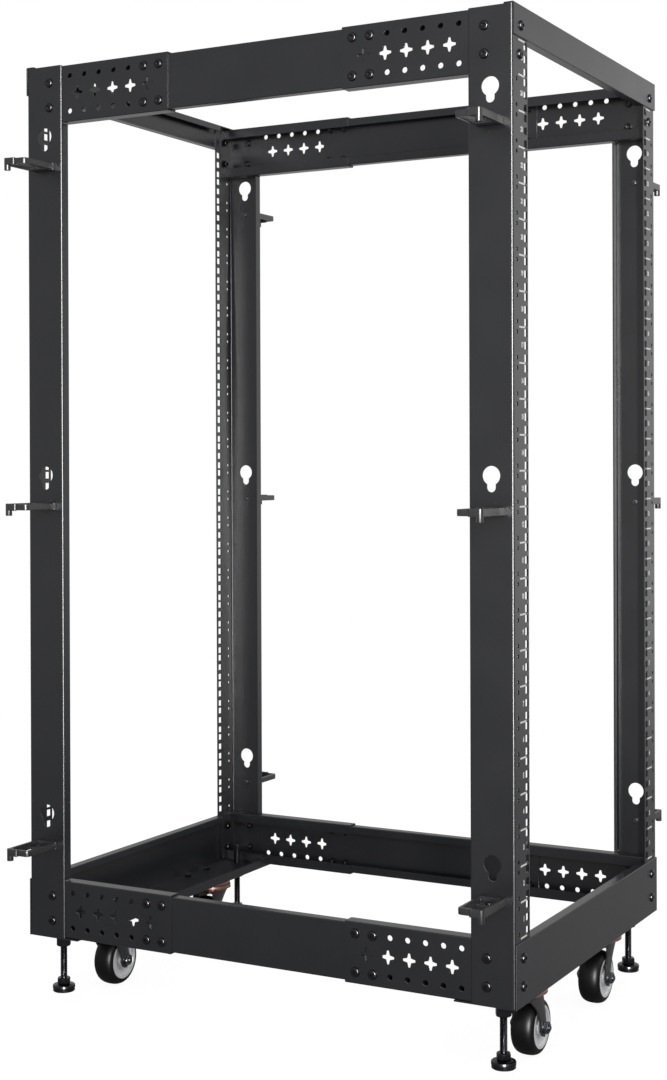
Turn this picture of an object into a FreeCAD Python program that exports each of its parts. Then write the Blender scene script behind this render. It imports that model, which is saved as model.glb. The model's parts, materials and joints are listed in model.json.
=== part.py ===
import FreeCAD, Part
import Sketcher
import math
import os

# Four post open frame rack, 25 units high, on four swivel casters with four levelling feet.
# Frame: millimetres, +Z up, X across the rack, the numbered front faces -Y, and the origin lies
# on the floor under the middle of the rack. The rack stands on its wheels, at Z = 0.
#
# Every piece of sheet metal is drawn as its bent profile and padded, then its holes are pocketed.
# The left and front pieces are drawn, and their twins are mirror images of them.

X_AXIS = FreeCAD.Vector(1, 0, 0)
Y_AXIS = FreeCAD.Vector(0, 1, 0)
Z_AXIS = FreeCAD.Vector(0, 0, 1)

doc = FreeCAD.newDocument("rack")
sizes = doc.addObject("Spreadsheet::Sheet", "Sizes")

DRIVING_SIZES = [
    ("width", 546, "across the outer faces of the posts"),
    ("depth", 750, "over the faces of the front and rear beams"),
    ("sheet", 2, "thickness of the bent steel sheet"),
    ("floor_gap", 103, "floor to the underside of the bottom beams"),
    ("units", 25, "equipment heights, in rack units"),
    ("unit_pitch", 44.45, "one rack unit"),
    ("unit_low_room", 4.5, "top of a bottom beam to the lowest unit"),
    ("unit_high_room", 1.75, "highest unit to the underside of a top beam"),
    ("hole_columns", 465.1, "between the two columns of square holes"),
    ("square_side", 9.5, "side of a square mounting hole"),
    ("square_step", 15.875, "between the square holes of one unit"),
    ("square_margin", 7.55, "middle of the square holes to the inner edge of a post"),
    ("post_web", 60, "width of the side face of a post"),
    ("post_lip", 15, "returned lip of a post"),
    ("bend", 2.6, "outside radius of a post's bends"),
    ("keyhole_head", 24, "round part of a keyhole"),
    ("keyhole_slot", 12, "width of the slot below it"),
    ("keyhole_drop", 14.5, "centre of the round part to the centre of the slot's end"),
    ("keyhole_inset", 30, "post corner to the keyholes"),
    ("keyhole_first", 101, "top of the rack to the highest keyhole"),
    ("keyhole_step", 480, "between keyholes"),
    ("keyholes", 3, "keyholes in one post"),
    ("bolt_spread", 35, "between the two bolts at a rail's end"),
    ("face_bolt_inset", 24, "post corner to the bolts through its face"),
    ("beam_high_height", 40, "face of a top beam"),
    ("beam_return", 14, "narrow flanges of the beams"),
    ("beam_lip", 10, "returned lips of the beams' upper flanges"),
    ("beam_shelf", 85, "bottom flange that carries the casters"),
    ("rail_height", 80, "face of an outer side rail"),
    ("rail_flange", 20, "flanges of an outer side rail"),
    ("rail_lip", 15, "returned lips of an outer side rail"),
    ("rail_reach", 240, "beam face to the inner end of an outer side rail"),
    ("rail_drop", 1, "top of a post to the top of the upper side rails"),
    ("rail_tab", 32, "end tab of an outer side rail"),
    ("rail_hole", 7.5, "round holes of a side rail, drawn eight-sided"),
    ("rail_hole_first", 75, "beam face to the first pair of round holes"),
    ("rail_hole_step", 25, "between pairs of round holes"),
    ("rail_hole_rows", 50, "between the two rows of round holes"),
    ("rail_hole_pairs", 5, "open pairs of round holes in an outer side rail"),
    ("cross_first", 88, "beam face to the first cross cut-out"),
    ("cross_step", 30, "between cross cut-outs"),
    ("crosses", 4, "open cross cut-outs in an outer side rail"),
    ("cross_span", 18, "tip to tip of a cross cut-out"),
    ("cross_arm", 6, "width of an arm of a cross cut-out"),
    ("slider_overlap", 53, "length of the middle rail inside an outer rail"),
    ("slider_play", 0.25, "gap between the nested rails' flanges and lips"),
    ("slider_lip", 12, "returned lips of the middle rail"),
    ("hook_drop", 44, "keyhole to the cable hook below it"),
    ("hook_reach", 70, "cable hook, out from the post"),
    ("hook_width", 36, "cable hook, across"),
    ("hook_band", 10, "height of the hook's band"),
    ("hook_wall", 5, "thickness of the hook's arms"),
    ("hook_mouth", 4, "gap between the two fingers of a hook"),
    ("hook_bend", 5, "slanted outer corners of a hook"),
    ("hook_base", 20, "length of the floor between a hook's arms"),
    ("hook_floor", 3, "thickness of that floor"),
    ("hook_pivot", 9, "diameter of the pivot in a hook's outer corner, drawn eight-sided"),
    ("hook_pivot_drop", 7, "that pivot below the hook's band"),
    ("foot_x", 36, "outer side face to the middle of a levelling foot"),
    ("foot_y", 33, "beam face to the middle of a levelling foot"),
    ("foot_raise", 18, "floor to the underside of a raised foot"),
    ("foot_pad", 32, "diameter of a foot's pad"),
    ("foot_pad_height", 10, "height of a foot's pad"),
    ("foot_boss", 17, "across the flats of a foot's boss"),
    ("foot_boss_height", 9, "height of a foot's boss"),
    ("stud", 10, "diameter of a foot's threaded stud"),
    ("stud_length", 98, "length of a foot's stud above its boss"),
    ("stud_play", 0.08, "radial gap between a stud and its nut"),
    ("nut_flats", 19, "across the flats of a foot's nut"),
    ("nut_height", 20, "height of a foot's nut"),
    ("caster_x", 144, "middle of the rack to a caster's swivel axis"),
    ("caster_plate", 70, "side of a caster's top plate"),
    ("caster_plate_thickness", 2.5, "thickness of a caster's top plate"),
    ("bearing", 60, "diameter of a caster's bearing ring"),
    ("bearing_height", 16, "height of a caster's bearing ring"),
    ("swivel_gap", 0.3, "running gap between a bearing ring and its fork"),
    ("wheel", 75, "diameter of a caster's wheel"),
    ("wheel_width", 32, "width of a caster's wheel"),
    ("wheel_trail", 20, "swivel axis to wheel axle"),
    ("tyre_shoulder", 8, "rounded edge of a tyre"),
    ("hub", 56, "diameter of a wheel's hub"),
    ("hub_rim", 4, "proud rim of a hub"),
    ("hub_dish", 3, "depth of a hub's dish"),
    ("fork_sheet", 2.5, "thickness of a caster's fork"),
    ("fork_gap", 1.5, "wheel to the fork's legs, each side"),
    ("axle", 8, "diameter of a wheel's axle"),
    ("axle_play", 0.08, "radial gap between an axle and its hub"),
    ("rail_room", 1, "gap between a post's lip and the side rails"),
    ("beam_room", 0.5, "gap between a beam's flanges and the posts or rails"),
    ("stud_room", 1, "gap between a stud and the beam it passes"),
    ("king_pin", 10, "diameter of a caster's king pin"),
    ("king_pin_head", 18, "diameter of the head under a fork's crown"),
    ("king_pin_head_height", 3, "height of that head"),
    ("pin_play", 0.08, "radial gap round a king pin"),
    ("fork_crown", 66, "length of a fork's crown"),
    ("fork_foot", 24, "width of a fork's leg at the axle"),
    ("fork_waist", 18, "straight foot of a fork's leg, above the axle"),
    ("axle_end_flats", 14, "across the flats of an axle's head and nut"),
    ("axle_end_height", 8, "height of an axle's head and nut"),
    ("bolt_head", 13, "diameter of a frame bolt's head, drawn twelve-sided"),
    ("bolt_head_height", 3, "height of a frame bolt's head"),
]

for row, (alias, size, meaning) in enumerate(DRIVING_SIZES, start=1):
    sizes.set("A%d" % row, alias)
    sizes.set("B%d" % row, str(size))
    sizes.setAlias("B%d" % row, alias)
    sizes.set("C%d" % row, meaning)

DERIVED_SIZES = [
    ("side", "width / 2", "outer side face of the left posts"),
    ("face", "depth / 2", "outer face of the front beams"),
    ("post_face", "face - sheet", "outer face of the front posts"),
    ("beam_low_height", "rail_height", "face of a bottom beam"),
    ("first_unit", "floor_gap + beam_low_height + unit_low_room", "lowest unit line"),
    ("last_unit", "first_unit + units * unit_pitch", "highest unit line"),
    ("top", "last_unit + unit_high_room + beam_high_height", "top of the rack"),
    ("post_low", "floor_gap + sheet", "foot of a post, on the bottom beam"),
    ("post_high", "top - sheet", "head of a post, under the top beam"),
    ("opening", "hole_columns - 2 * square_margin", "clear width between the posts"),
    ("post_flange", "side - opening / 2", "width of the numbered face of a post"),
    ("rail_low", "post_low", "underside of the lower side rails"),
    ("rail_high", "post_high - rail_drop - rail_height", "underside of the upper side rails"),
    ("rail_side", "side - sheet", "outer face of the side rails"),
    ("slider_side", "rail_side - sheet", "outer face of the middle rails"),
    ("slider_flange", "rail_flange - 2 * sheet - slider_play", "flanges of the middle rail"),
    ("slider_end", "face - rail_reach + slider_overlap", "end of a middle rail"),
    ("caster_y", "face - beam_shelf / 2", "middle of the rack to a caster's swivel axis, in depth"),
    ("bearing_low", "floor_gap - caster_plate_thickness - bearing_height", "underside of a bearing ring"),
    ("fork_top", "bearing_low - swivel_gap", "crown of a fork"),
    ("fork_inside", "wheel_width / 2 + fork_gap", "inner face of a fork's leg"),
    ("fork_outside", "fork_inside + fork_sheet", "outer face of a fork's leg"),
    ("wheel_x", "caster_x - wheel_trail", "middle of the rack to a wheel's axle"),
    ("pin_low", "fork_top - fork_sheet - swivel_gap - king_pin_head_height", "foot of a king pin"),
]
for row, (alias, formula, meaning) in enumerate(DERIVED_SIZES, start=len(DRIVING_SIZES) + 2):
    sizes.set("A%d" % row, alias)
    sizes.set("B%d" % row, "=" + formula)
    sizes.setAlias("B%d" % row, alias)
    sizes.set("C%d" % row, meaning)
doc.recompute()

ALIASES = {entry[0] for entry in DRIVING_SIZES + DERIVED_SIZES}


def value(formula):
    """Number that a formula of the sheet's aliases stands for."""
    return float(sizes.evalExpression(linked(formula)))


def linked(formula):
    """The formula with each alias written as the sheet's cell, for setExpression."""
    words = []
    word = ""
    for letter in str(formula) + " ":
        if letter.isalnum() or letter == "_" or letter == ".":
            word += letter
            continue
        words.append("Sizes." + word if word in ALIASES else word)
        words.append(letter)
        word = ""
    return "".join(words).strip()


def new_body(name):
    body = doc.addObject("PartDesign::Body", name)
    body.Label = name
    body.AllowCompound = True
    return body


def new_sketch(body, name, role, offset="0"):
    """Sketch on one of the body's origin planes, moved along the plane's normal by a formula."""
    plane = [feature for feature in body.Origin.OriginFeatures if feature.Role == role][0]
    sketch = body.newObject("Sketcher::SketchObject", name)
    sketch.AttachmentSupport = (plane, [""])
    sketch.MapMode = "FlatFace"
    sketch.setExpression("AttachmentOffset.Base.z", linked(offset))
    return sketch


def pin_point(sketch, geometry, vertex, x, y):
    """Tie one vertex of a sketch to its two formulas."""
    for direction, formula in (("DistanceX", x), ("DistanceY", y)):
        size = Sketcher.Constraint(direction, -1, 1, geometry, vertex, value(formula))
        number = sketch.addConstraint(size)
        sketch.setExpression("Constraints[%d]" % number, linked(formula))


def polygon(sketch, corners):
    """Closed outline of straight lines. Each corner is a pair of formulas."""
    points = [FreeCAD.Vector(value(x), value(y), 0) for x, y in corners]
    lines = []
    for start, end in zip(points, points[1:] + points[:1]):
        lines.append(sketch.addGeometry(Part.LineSegment(start, end)))
    for line, following in zip(lines, lines[1:] + lines[:1]):
        sketch.addConstraint(Sketcher.Constraint("Coincident", line, 2, following, 1))
    for line, (x, y) in zip(lines, corners):
        pin_point(sketch, line, 1, x, y)


def rectangle(sketch, x_low, x_high, y_low, y_high):
    polygon(sketch, [(x_low, y_low), (x_high, y_low), (x_high, y_high), (x_low, y_high)])


def circle(sketch, x, y, diameter):
    middle = FreeCAD.Vector(value(x), value(y), 0)
    ring = sketch.addGeometry(Part.Circle(middle, Z_AXIS, value(diameter) / 2))
    pin_point(sketch, ring, 3, x, y)
    size = sketch.addConstraint(Sketcher.Constraint("Diameter", ring, value(diameter)))
    sketch.setExpression("Constraints[%d]" % size, linked(diameter))


def regular(sketch, x, y, radius, sides):
    """Polygon of equal sides about a point, with its corners on the given radius."""
    corners = []
    for number in range(sides):
        angle = math.pi * (2 * number + 1) / sides
        corners.append(("%s + (%s) * (%.9f)" % (x, radius, math.cos(angle)),
                        "%s + (%s) * (%.9f)" % (y, radius, math.sin(angle))))
    polygon(sketch, corners)


def hexagon(sketch, x, y, flats):
    """Hexagon given by its width across the flats."""
    regular(sketch, x, y, "(%s) / 2 / %.9f" % (flats, math.cos(math.pi / 6)), 6)


def pad(body, sketch, name, length, backwards=False, both_ways=False):
    feature = body.newObject("PartDesign::Pad", name)
    feature.Profile = sketch
    feature.setExpression("Length", linked(length))
    feature.Reversed = backwards
    feature.Midplane = both_ways
    return settled(body, feature)


def pocket(body, sketch, name, depth, backwards=False, both_ways=False):
    """Cut a sketch out of a body, and check that it did remove something."""
    before = body.Shape.Volume
    feature = body.newObject("PartDesign::Pocket", name)
    feature.Profile = sketch
    feature.setExpression("Length", linked(depth))
    feature.Reversed = backwards
    feature.Midplane = both_ways
    settled(body, feature)
    if body.Shape.Volume > before - 0.1:
        raise RuntimeError("%s cut nothing out of %s" % (name, body.Label))
    return feature


def row_of(body, features, name, role, step, count):
    """Repeat features along one of the body's axes."""
    axis = [feature for feature in body.Origin.OriginFeatures if feature.Role == role][0]
    pattern = body.newObject("PartDesign::LinearPattern", name)
    pattern.Originals = features
    pattern.Direction = (axis, [""])
    pattern.setExpression("Length", linked("(%s) * ((%s) - 1)" % (step, count)))
    pattern.setExpression("Occurrences", linked(count))
    return settled(body, pattern)


def settled(body, feature):
    """Make a feature the body's tip and work it out."""
    feature.Refine = False
    body.Tip = feature
    doc.recompute()
    return feature


def upright_edges(body, corners):
    """Names of the body's edges that stand on the given corners."""
    found = []
    for number, edge in enumerate(body.Shape.Edges, start=1):
        if abs(edge.tangentAt(edge.FirstParameter).z) < 0.999:
            continue
        point = edge.Vertexes[0].Point
        for x, y in corners:
            if math.hypot(point.x - value(x), point.y - value(y)) < 0.01:
                found.append("Edge%d" % number)
    return found


def rounded(body, name, edges, radius):
    base = body.Tip
    feature = body.newObject("PartDesign::Fillet", name)
    feature.Base = (base, edges)
    feature.setExpression("Radius", linked(radius))
    return settled(body, feature)


def mirrored(source, name, normal):
    """Twin of a piece on the other side of the rack's middle."""
    twin = doc.addObject("Part::Mirroring", name)
    twin.Label = name
    twin.Source = source
    twin.Normal = normal
    return twin


# Posts. A post is a bent channel: the numbered face, the side and a narrow lip, which is cut away
# where the side rails pass.

def make_post(name):
    body = new_body(name)
    outline = new_sketch(body, "profile", "XY_Plane", "post_low")
    polygon(outline, [
        ("-side", "-post_face"),
        ("-side + post_flange", "-post_face"),
        ("-side + post_flange", "-post_face + sheet"),
        ("-side + sheet", "-post_face + sheet"),
        ("-side + sheet", "-post_face + post_web - sheet"),
        ("-side + post_lip", "-post_face + post_web - sheet"),
        ("-side + post_lip", "-post_face + post_web"),
        ("-side", "-post_face + post_web"),
    ])
    pad(body, outline, "channel", "post_high - post_low")
    bends = [("-side", "-post_face"), ("-side", "-post_face + post_web")]
    rounded(body, "bends", upright_edges(body, bends), "bend")

    notches = new_sketch(body, "lip_notches", "XZ_Plane", "post_face - post_web + sheet")
    lip_edge = ("-side + sheet", "-side + post_lip + 1")
    rectangle(notches, *lip_edge, "post_low - 1", "rail_low + rail_height + rail_room")
    rectangle(notches, *lip_edge, "rail_high - rail_room", "post_high + 1")
    pocket(body, notches, "rail_notches", "sheet + 1")

    squares = new_sketch(body, "square_outline", "XZ_Plane", "post_face")
    middle = "-hole_columns / 2"
    for number in range(3):
        centre = "first_unit + unit_pitch / 2 + (%d) * square_step" % (number - 1)
        rectangle(squares, middle + " - square_side / 2", middle + " + square_side / 2",
                  centre + " - square_side / 2", centre + " + square_side / 2")
    first = pocket(body, squares, "square_holes", "sheet")
    row_of(body, [first], "square_columns", "Z_Axis", "unit_pitch", "units")

    heads = new_sketch(body, "keyhole_heads", "YZ_Plane", "-side")
    across = "-post_face + keyhole_inset"
    head_height = "top - keyhole_first - keyhole_step * (keyholes - 1)"
    circle(heads, across, head_height, "keyhole_head")
    head = pocket(body, heads, "keyhole_rounds", "sheet", backwards=True)
    slots = new_sketch(body, "keyhole_slots", "YZ_Plane", "-side")
    slot_end = head_height + " - keyhole_drop"
    circle(slots, across, slot_end, "keyhole_slot")
    tail = pocket(body, slots, "keyhole_tails", "sheet", backwards=True)
    necks = new_sketch(body, "keyhole_necks", "YZ_Plane", "-side")
    rectangle(necks, across + " - keyhole_slot / 2", across + " + keyhole_slot / 2",
              slot_end, head_height)
    neck = pocket(body, necks, "keyhole_throats", "sheet", backwards=True)
    row_of(body, [head, tail, neck], "keyholes", "Z_Axis", "keyhole_step", "keyholes")

    return body


def make_top_beam(name):
    """Front top beam: a face, a flange over the posts, and a flange between them."""
    body = new_body(name)
    outline = new_sketch(body, "profile", "YZ_Plane", "-side")
    polygon(outline, [
        ("-face", "top - beam_high_height"),
        ("-face + sheet", "top - beam_high_height"),
        ("-face + sheet", "top - sheet"),
        ("-face + beam_return", "top - sheet"),
        ("-face + beam_return", "top"),
        ("-face", "top"),
    ])
    pad(body, outline, "angle", "width")
    flange = new_sketch(body, "lower_flange_profile", "YZ_Plane", "-opening / 2 + beam_room")
    rectangle(flange, "-face", "-face + beam_return",
              "top - beam_high_height", "top - beam_high_height + sheet")
    pad(body, flange, "lower_flange", "opening - 2 * beam_room")
    lip = new_sketch(body, "upper_lip_profile", "YZ_Plane", "-opening / 2 + beam_room")
    rectangle(lip, "-face + beam_return - sheet", "-face + beam_return", "top - beam_lip", "top")
    pad(body, lip, "upper_lip", "opening - 2 * beam_room")
    return body


def make_bottom_beam(name):
    """Front bottom beam: a face, a narrow flange between the posts, and a wide shelf."""
    body = new_body(name)
    outline = new_sketch(body, "profile", "YZ_Plane", "-side")
    polygon(outline, [
        ("-face", "floor_gap"),
        ("-face + beam_shelf", "floor_gap"),
        ("-face + beam_shelf", "floor_gap + sheet"),
        ("-face + sheet", "floor_gap + sheet"),
        ("-face + sheet", "floor_gap + beam_low_height"),
        ("-face", "floor_gap + beam_low_height"),
    ])
    pad(body, outline, "angle", "width")
    flange = new_sketch(body, "upper_flange_profile", "YZ_Plane", "-opening / 2 + beam_room")
    rectangle(flange, "-face", "-face + beam_return",
              "floor_gap + beam_low_height - sheet", "floor_gap + beam_low_height")
    pad(body, flange, "upper_flange", "opening - 2 * beam_room")
    upper_lip = new_sketch(body, "upper_lip_profile", "YZ_Plane", "-opening / 2 + beam_room")
    rectangle(upper_lip, "-face + beam_return - sheet", "-face + beam_return",
              "floor_gap + beam_low_height - beam_lip", "floor_gap + beam_low_height")
    pad(body, upper_lip, "upper_lip", "opening - 2 * beam_room")
    lip_start = "-rail_side + rail_flange + beam_room"
    lip = new_sketch(body, "shelf_lip_profile", "YZ_Plane", lip_start)
    rectangle(lip, "-face + beam_shelf - sheet", "-face + beam_shelf",
              "floor_gap", "floor_gap + beam_return")
    pad(body, lip, "shelf_lip", "-2 * (%s)" % lip_start)
    studs = new_sketch(body, "stud_outline", "XY_Plane", "floor_gap + sheet")
    for side_sign in ("-", "+"):
        circle(studs, "%s(side - foot_x)" % side_sign, "-face + foot_y", "stud + 2 * stud_room")
    pocket(body, studs, "stud_holes", "sheet")
    return body


def cross_corners(across, height):
    """Corners of a four-armed cut-out with blunt tips, one quarter at a time."""
    tip = "cross_span / 2"
    arm = "cross_arm / 2"
    blunt = "cross_arm / 4"
    quarter = [(tip, blunt), (arm, arm), (blunt, tip)]
    corners = []
    for along, up, order in ((1, 1, 1), (-1, 1, -1), (-1, -1, 1), (1, -1, -1)):
        for x, y in quarter[::order]:
            corners.append(("%s + (%d) * (%s)" % (across, along, x),
                            "%s + (%d) * (%s)" % (height, up, y)))
    return corners


def lipped_channel(sketch, web, flange, lip, low, high):
    """Section of a side rail: a web, two flanges and two lips that are turned back towards each other."""
    outer = "%s + %s" % (web, flange)
    inner = outer + " - sheet"
    polygon(sketch, [
        (web, low),
        (outer, low),
        (outer, "%s + %s" % (low, lip)),
        (inner, "%s + %s" % (low, lip)),
        (inner, low + " + sheet"),
        (web + " + sheet", low + " + sheet"),
        (web + " + sheet", high + " - sheet"),
        (inner, high + " - sheet"),
        (inner, "%s - %s" % (high, lip)),
        (outer, "%s - %s" % (high, lip)),
        (outer, high),
        (web, high),
    ])


def make_outer_rail(name, low):
    """Front half of a side rail: a lipped channel with an end tab, bolted inside a post."""
    body = new_body(name)
    high = low + " + rail_height"
    start = "post_face - sheet"
    outline = new_sketch(body, "profile", "XZ_Plane", start)
    lipped_channel(outline, "-rail_side", "rail_flange", "rail_lip", low, high)
    pad(body, outline, "channel", "%s - (face - rail_reach)" % start, backwards=True)
    tab = new_sketch(body, "tab_outline", "XZ_Plane", start)
    rectangle(tab, "-rail_side", "-rail_side + rail_tab", low + " + 2 * sheet", high + " - 2 * sheet")
    pad(body, tab, "end_tab", "sheet", backwards=True)

    middle = low + " + rail_height / 2"
    holes = new_sketch(body, "hole_outline", "YZ_Plane", "-rail_side")
    for sign in ("-", "+"):
        height = "%s %s rail_hole_rows / 2" % (middle, sign)
        regular(holes, "-face + rail_hole_first", height, "rail_hole / 2", 8)
    pair = pocket(body, holes, "round_holes", "sheet", backwards=True)
    row_of(body, [pair], "hole_rows", "Y_Axis", "rail_hole_step", "rail_hole_pairs")
    cross = new_sketch(body, "cross_outline", "YZ_Plane", "-rail_side")
    polygon(cross, cross_corners("-face + cross_first", middle))
    first = pocket(body, cross, "cross_hole", "sheet", backwards=True)
    row_of(body, [first], "cross_row", "Y_Axis", "cross_step", "crosses")

    return body


def make_middle_rail(name, low):
    """Middle of a side rail: a lipped channel that slides inside the two outer rails."""
    body = new_body(name)
    bottom = low + " + sheet + slider_play"
    head = low + " + rail_height - sheet - slider_play"
    outline = new_sketch(body, "profile", "XZ_Plane", "slider_end")
    lipped_channel(outline, "-slider_side", "slider_flange", "slider_lip", bottom, head)
    pad(body, outline, "channel", "2 * slider_end", backwards=True)
    return body


def make_hooks(name):
    """The three cable hooks of a post: open rings that lie level, screwed to the post's side."""
    body = new_body(name)
    height = "top - keyhole_first - keyhole_step * (keyholes - 1) - hook_drop"
    middle = "-post_face + keyhole_inset"
    near = "-side"
    far = "-side - hook_reach"
    ring = new_sketch(body, "ring_outline", "XY_Plane", height + " - hook_band / 2")
    half = "hook_width / 2"
    mouth = "hook_mouth / 2"
    slant = "hook_bend"
    inner_slant = "hook_bend + hook_wall / 2"
    polygon(ring, [
        (near, "%s - %s" % (middle, half)),
        (near, "%s + %s" % (middle, half)),
        ("%s + %s" % (far, slant), "%s + %s" % (middle, half)),
        (far, "%s + %s - %s" % (middle, half, slant)),
        (far, "%s + %s" % (middle, mouth)),
        (far + " + hook_wall", "%s + %s" % (middle, mouth)),
        (far + " + hook_wall", "%s + %s - (%s)" % (middle, half, inner_slant)),
        ("%s + %s" % (far, inner_slant), "%s + %s - hook_wall" % (middle, half)),
        (near + " - hook_wall", "%s + %s - hook_wall" % (middle, half)),
        (near + " - hook_wall", "%s - %s + hook_wall" % (middle, half)),
        ("%s + %s" % (far, inner_slant), "%s - %s + hook_wall" % (middle, half)),
        (far + " + hook_wall", "%s - %s + %s" % (middle, half, inner_slant)),
        (far + " + hook_wall", "%s - %s" % (middle, mouth)),
        (far, "%s - %s" % (middle, mouth)),
        (far, "%s - %s + %s" % (middle, half, slant)),
        ("%s + %s" % (far, slant), "%s - %s" % (middle, half)),
    ])
    first = pad(body, ring, "ring", "hook_band")
    floor = new_sketch(body, "floor_outline", "XY_Plane", height + " - hook_band / 2")
    rectangle(floor, near + " - hook_base", near + " - hook_wall / 2",
              "%s - %s + hook_wall / 2" % (middle, half), "%s + %s - hook_wall / 2" % (middle, half))
    base = pad(body, floor, "floor", "hook_floor")
    pivot_outline = new_sketch(body, "pivot_outline", "XY_Plane",
                               height + " - hook_band / 2 - hook_pivot_drop")
    regular(pivot_outline, far + " + hook_pivot / 2", "%s - %s + hook_pivot / 2" % (middle, half),
            "hook_pivot / 2", 8)
    pivot = pad(body, pivot_outline, "pivot", "hook_band + hook_pivot_drop")
    row_of(body, [first, base, pivot], "hooks", "Z_Axis", "keyhole_step", "keyholes")
    return body


def make_foot(name):
    """Levelling foot: a round pad, a hexagonal boss and a threaded stud."""
    body = new_body(name)
    place = ("-side + foot_x", "-face + foot_y")
    disc = new_sketch(body, "pad_outline", "XY_Plane", "foot_raise")
    circle(disc, *place, "foot_pad")
    pad(body, disc, "pad", "foot_pad_height")
    boss = new_sketch(body, "boss_outline", "XY_Plane", "foot_raise + foot_pad_height")
    hexagon(boss, *place, "foot_boss")
    pad(body, boss, "boss", "foot_boss_height")
    shank = new_sketch(body, "stud_outline", "XY_Plane",
                       "foot_raise + foot_pad_height + foot_boss_height")
    circle(shank, *place, "stud")
    pad(body, shank, "stud", "stud_length")
    return body


def make_foot_nuts(name):
    """The four nuts that hold the levelling feet, under the bottom beams."""
    body = new_body(name)
    outline = new_sketch(body, "nut_outline", "XY_Plane", "floor_gap")
    bores = new_sketch(body, "bore_outline", "XY_Plane", "floor_gap")
    for across in ("-(side - foot_x)", "(side - foot_x)"):
        for along in ("-(face - foot_y)", "(face - foot_y)"):
            hexagon(outline, across, along, "nut_flats")
            circle(bores, across, along, "stud + 2 * stud_play")
    pad(body, outline, "nuts", "nut_height", backwards=True)
    pocket(body, bores, "bores", "nut_height")
    return body


def make_caster_plates(name):
    """The four top plates, each with its king pin, bolted under the bottom beams."""
    body = new_body(name)
    plates = new_sketch(body, "plate_outline", "XY_Plane", "floor_gap")
    pins = new_sketch(body, "pin_outline", "XY_Plane", "floor_gap - caster_plate_thickness")
    heads = new_sketch(body, "pin_head_outline", "XY_Plane", "pin_low")
    for across in ("-caster_x", "caster_x"):
        for along in ("-caster_y", "caster_y"):
            rectangle(plates, across + " - caster_plate / 2", across + " + caster_plate / 2",
                      along + " - caster_plate / 2", along + " + caster_plate / 2")
            circle(pins, across, along, "king_pin")
            circle(heads, across, along, "king_pin_head")
    pad(body, plates, "plates", "caster_plate_thickness", backwards=True)
    pad(body, pins, "king_pins", "floor_gap - caster_plate_thickness - pin_low", backwards=True)
    pad(body, heads, "king_pin_heads", "king_pin_head_height")
    return body


def make_bearings(name):
    """The four bearing rings between the top plates and the forks."""
    body = new_body(name)
    rings = new_sketch(body, "ring_outline", "XY_Plane", "floor_gap - caster_plate_thickness")
    bores = new_sketch(body, "bore_outline", "XY_Plane", "floor_gap - caster_plate_thickness")
    for across in ("-caster_x", "caster_x"):
        for along in ("-caster_y", "caster_y"):
            circle(rings, across, along, "bearing")
            circle(bores, across, along, "king_pin + 2 * pin_play")
    pad(body, rings, "rings", "bearing_height", backwards=True)
    pocket(body, bores, "bores", "bearing_height")
    return body


def make_fork(name):
    """Fork of a caster: a crown with two tapered legs down to the axle."""
    body = new_body(name)
    outline = new_sketch(body, "leg_outline", "XZ_Plane", "caster_y")
    axle_x = "-wheel_x"
    axle_z = "wheel / 2"
    foot = "fork_foot / 2"
    polygon(outline, [
        ("-caster_x - fork_crown / 2", "fork_top"),
        ("-caster_x + fork_crown / 2", "fork_top"),
        ("-caster_x + fork_crown / 2", "fork_top - 4 * fork_sheet"),
        ("%s + %s" % (axle_x, foot), axle_z + " + fork_waist"),
        ("%s + %s" % (axle_x, foot), axle_z),
        ("%s + %s * 0.7" % (axle_x, foot), "%s - %s * 0.7" % (axle_z, foot)),
        (axle_x, "%s - %s" % (axle_z, foot)),
        ("%s - %s * 0.7" % (axle_x, foot), "%s - %s * 0.7" % (axle_z, foot)),
        ("%s - %s" % (axle_x, foot), axle_z),
        ("%s - %s" % (axle_x, foot), axle_z + " + fork_waist"),
        ("-caster_x - fork_crown / 2", "fork_top - 4 * fork_sheet"),
    ])
    pad(body, outline, "fork_block", "2 * fork_outside", both_ways=True)
    gap = new_sketch(body, "gap_outline", "YZ_Plane", "-caster_x")
    rectangle(gap, "-caster_y - fork_inside", "-caster_y + fork_inside",
              "0", "fork_top - fork_sheet")
    pocket(body, gap, "gap", "4 * fork_crown", both_ways=True)
    pin = new_sketch(body, "pin_hole_outline", "XY_Plane", "fork_top")
    circle(pin, "-caster_x", "-caster_y", "king_pin + 2 * pin_play")
    pocket(body, pin, "pin_hole", "fork_sheet")
    axle = new_sketch(body, "axle_hole_outline", "XZ_Plane", "caster_y")
    circle(axle, axle_x, axle_z, "axle + 2 * axle_play")
    pocket(body, axle, "axle_holes", "3 * fork_outside", both_ways=True)
    return body


def make_axle(name):
    """Axle bolt of a wheel, with its head and nut outside the fork."""
    body = new_body(name)
    shank = new_sketch(body, "shank_outline", "XZ_Plane", "caster_y")
    circle(shank, "-wheel_x", "wheel / 2", "axle")
    pad(body, shank, "shank", "2 * (fork_outside + axle_end_height)", both_ways=True)
    for side_name, start, backwards in (("head", "caster_y + fork_outside", False),
                                        ("nut", "caster_y - fork_outside", True)):
        outline = new_sketch(body, side_name + "_outline", "XZ_Plane", start)
        hexagon(outline, "-wheel_x", "wheel / 2", "axle_end_flats")
        pad(body, outline, side_name, "axle_end_height", backwards=backwards)
    return body


def revolved(body, sketch, name):
    """Turn a sketch in the XY plane about its own axle line, which is construction geometry 0."""
    feature = body.newObject("PartDesign::Revolution", name)
    feature.Profile = sketch
    feature.ReferenceAxis = (sketch, ["Axis0"])
    feature.Angle = 360
    return settled(body, feature)


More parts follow.
